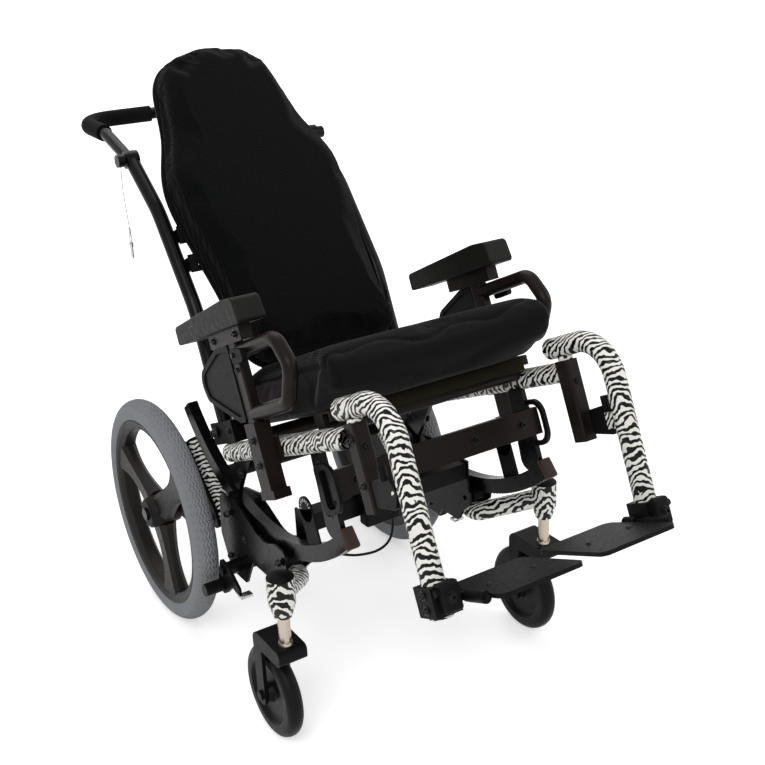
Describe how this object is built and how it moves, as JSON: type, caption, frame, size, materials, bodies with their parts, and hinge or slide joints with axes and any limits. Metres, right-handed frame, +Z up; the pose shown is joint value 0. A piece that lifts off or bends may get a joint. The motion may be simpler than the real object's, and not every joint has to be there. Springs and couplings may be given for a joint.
{
  "type": "tilt in space wheelchair",
  "caption": "Manual wheelchair whose seat tilts back on curved rockers, with spoked rear wheels, casters, flip-up footplates and a striped frame.",
  "frame": {"origin": "on the floor under the middle of the chair's bounding box", "axes": "+Z up, the occupant faces -Y, +X to the occupant's left"},
  "size_m": [0.5578, 1.246, 1.0046],
  "materials": {
    "striped_paint": "gloss",
    "black_paint": "satin",
    "nickel": "satin",
    "steel": "satin",
    "black_plastic": "matte",
    "wheel_plastic": "satin",
    "grey_tyre": "matte",
    "black_tyre": "matte",
    "foam": "matte",
    "cushion_fabric": "matte",
    "cable_jacket": "satin"
  },
  "bodies": {
    "base": {"base_side_right": "striped_paint", "base_side_left": "striped_paint", "end_caps": "black_plastic", "axle_plate_right": "black_paint", "axle_plate_left": "black_paint", "axles": "nickel", "base_crossbars": "black_paint", "cross_tube": "striped_paint", "roller_housing_right": "black_paint", "roller_housing_left": "black_paint", "release_cable": "cable_jacket"},
    "seat": {"rocker_right": "black_paint", "rocker_left": "black_paint", "seat_rail_right": "striped_paint", "seat_rail_left": "striped_paint", "seat_pan": "black_paint", "hanger_receivers": "black_paint", "cross_beam": "black_paint", "tie_loops": "black_paint", "arm_sleeves": "black_paint", "seat_cushion": "cushion_fabric", "cane_brackets": "black_paint"},
    "back": {"cane_right": "black_paint", "cane_left": "black_paint", "back_shell": "black_plastic", "back_cushion": "cushion_fabric"},
    "push_handle": {"push_bar": "black_paint", "foam_grips": "foam", "lanyard": "steel", "lanyard_pin": "steel"},
    "wheel_right": {"tyre_right": "grey_tyre", "rear_wheel_right": "wheel_plastic"},
    "fork_right": {"caster_fork_right": "black_paint"},
    "caster_right": {"caster_wheel_right": "black_tyre"},
    "lock_right": {"wheel_lock_right": "black_paint"},
    "roller_front_right": {"roller_front_right": "black_plastic"},
    "roller_rear_right": {"roller_rear_right": "black_plastic"},
    "arm_right": {"arm_frame_right": "black_paint", "arm_guard_right": "black_plastic", "arm_pad_right": "foam"},
    "height_lever_right": {"height_lock_right": "black_plastic"},
    "hanger_right": {"hanger_right": "striped_paint", "plate_bracket_right": "black_paint"},
    "latch_right": {"hanger_latch_right": "black_paint"},
    "footplate_right": {"footplate_right": "black_plastic"},
    "wheel_left": {"tyre_left": "grey_tyre", "rear_wheel_left": "wheel_plastic"},
    "fork_left": {"caster_fork_left": "black_paint"},
    "caster_left": {"caster_wheel_left": "black_tyre"},
    "lock_left": {"wheel_lock_left": "black_paint"},
    "roller_front_left": {"roller_front_left": "black_plastic"},
    "roller_rear_left": {"roller_rear_left": "black_plastic"},
    "arm_left": {"arm_frame_left": "black_paint", "arm_guard_left": "black_plastic", "arm_pad_left": "foam"},
    "height_lever_left": {"height_lock_left": "black_plastic"},
    "hanger_left": {"hanger_left": "striped_paint", "plate_bracket_left": "black_paint"},
    "latch_left": {"hanger_latch_left": "black_paint"},
    "footplate_left": {"footplate_left": "black_plastic"}
  },
  "joints": [
    {"name": "tilt", "type": "hinge", "parent": "base", "child": "seat", "pos_m": [0, -0.069, 0.645], "axis": [-1, 0, 0], "range_deg": [-23, 27]},
    {"name": "recline", "type": "hinge", "parent": "seat", "child": "back", "pos_m": [0, 0.06901, 0.41477], "axis": [-1, 0, 0], "range_deg": [-2, 15]},
    {"name": "handle_angle", "type": "hinge", "parent": "back", "child": "push_handle", "pos_m": [0, 0.36304, 0.82337], "axis": [1, 0, 0], "range_deg": [-30, 30]},
    {"name": "wheel_spin_right", "type": "hinge", "parent": "base", "child": "wheel_right", "pos_m": [-0.24, 0.258, 0.207], "axis": [1, 0, 0], "continuous": true},
    {"name": "caster_swivel_right", "type": "hinge", "parent": "base", "child": "fork_right", "pos_m": [-0.2509, -0.231, 0.2], "axis": [0, 0, 1], "continuous": true},
    {"name": "caster_spin_right", "type": "hinge", "parent": "fork_right", "child": "caster_right", "pos_m": [-0.2509, -0.179, 0.076], "axis": [1, 0, 0], "continuous": true},
    {"name": "wheel_lock_turn_right", "type": "hinge", "parent": "base", "child": "lock_right", "pos_m": [-0.225, 0.028, 0.184], "axis": [1, 0, 0], "range_deg": [0, 10]},
    {"name": "roller_front_right_spin", "type": "hinge", "parent": "base", "child": "roller_front_right", "pos_m": [-0.181, -0.13591, 0.26555], "axis": [-1, 0, 0], "continuous": true},
    {"name": "roller_rear_right_spin", "type": "hinge", "parent": "base", "child": "roller_rear_right", "pos_m": [-0.181, 0.04365, 0.27654], "axis": [-1, 0, 0], "continuous": true},
    {"name": "arm_height_right", "type": "slide", "parent": "seat", "child": "arm_right", "axis": [0, 0.3907, 0.9205], "range_m": [0, 0.06]},
    {"name": "height_lever_turn_right", "type": "hinge", "parent": "arm_right", "child": "height_lever_right", "pos_m": [-0.234, -0.12458, 0.61645], "axis": [1, 0, 0], "range_deg": [0, 20], "stiffness_Nm_per_rad": 0.3, "springref_deg": -5.73},
    {"name": "hanger_swing_right", "type": "hinge", "parent": "seat", "child": "hanger_right", "pos_m": [-0.183, -0.36531, 0.5535], "axis": [0, -0.3907, -0.9205], "range_deg": [0, 90]},
    {"name": "hanger_latch_turn_right", "type": "hinge", "parent": "hanger_right", "child": "latch_right", "pos_m": [-0.186, -0.45589, 0.51156], "axis": [-1, 0, 0], "range_deg": [0, 12], "stiffness_Nm_per_rad": 0.3, "springref_deg": -5.73},
    {"name": "footplate_flip_right", "type": "hinge", "parent": "hanger_right", "child": "footplate_right", "pos_m": [-0.1545, -0.55832, 0.40078], "axis": [0, -0.9205, 0.3907], "range_deg": [0, 90]},
    {"name": "wheel_spin_left", "type": "hinge", "parent": "base", "child": "wheel_left", "pos_m": [0.24, 0.258, 0.207], "axis": [1, 0, 0], "continuous": true},
    {"name": "caster_swivel_left", "type": "hinge", "parent": "base", "child": "fork_left", "pos_m": [0.2509, -0.231, 0.2], "axis": [0, 0, 1], "continuous": true},
    {"name": "caster_spin_left", "type": "hinge", "parent": "fork_left", "child": "caster_left", "pos_m": [0.2509, -0.179, 0.076], "axis": [1, 0, 0], "continuous": true},
    {"name": "wheel_lock_turn_left", "type": "hinge", "parent": "base", "child": "lock_left", "pos_m": [0.225, 0.028, 0.184], "axis": [1, 0, 0], "range_deg": [0, 10]},
    {"name": "roller_front_left_spin", "type": "hinge", "parent": "base", "child": "roller_front_left", "pos_m": [0.181, -0.13591, 0.26555], "axis": [-1, 0, 0], "continuous": true},
    {"name": "roller_rear_left_spin", "type": "hinge", "parent": "base", "child": "roller_rear_left", "pos_m": [0.181, 0.04365, 0.27654], "axis": [-1, 0, 0], "continuous": true},
    {"name": "arm_height_left", "type": "slide", "parent": "seat", "child": "arm_left", "axis": [0, 0.3907, 0.9205], "range_m": [0, 0.06]},
    {"name": "height_lever_turn_left", "type": "hinge", "parent": "arm_left", "child": "height_lever_left", "pos_m": [0.234, -0.12458, 0.61645], "axis": [1, 0, 0], "range_deg": [0, 20], "stiffness_Nm_per_rad": 0.3, "springref_deg": -5.73},
    {"name": "hanger_swing_left", "type": "hinge", "parent": "seat", "child": "hanger_left", "pos_m": [0.183, -0.36531, 0.5535], "axis": [0, 0.3907, 0.9205], "range_deg": [0, 90]},
    {"name": "hanger_latch_turn_left", "type": "hinge", "parent": "hanger_left", "child": "latch_left", "pos_m": [0.186, -0.45589, 0.51156], "axis": [-1, 0, 0], "range_deg": [0, 12], "stiffness_Nm_per_rad": 0.3, "springref_deg": -5.73},
    {"name": "footplate_flip_left", "type": "hinge", "parent": "hanger_left", "child": "footplate_left", "pos_m": [0.1545, -0.55832, 0.40078], "axis": [0, 0.9205, -0.3907], "range_deg": [0, 90]}
  ],
  "couplings": [
    {"joint": "roller_front_right_spin", "follows": "tilt", "ratio": -37.5},
    {"joint": "roller_rear_right_spin", "follows": "tilt", "ratio": -37.5},
    {"joint": "roller_front_left_spin", "follows": "tilt", "ratio": -37.5},
    {"joint": "roller_rear_left_spin", "follows": "tilt", "ratio": -37.5}
  ]
}
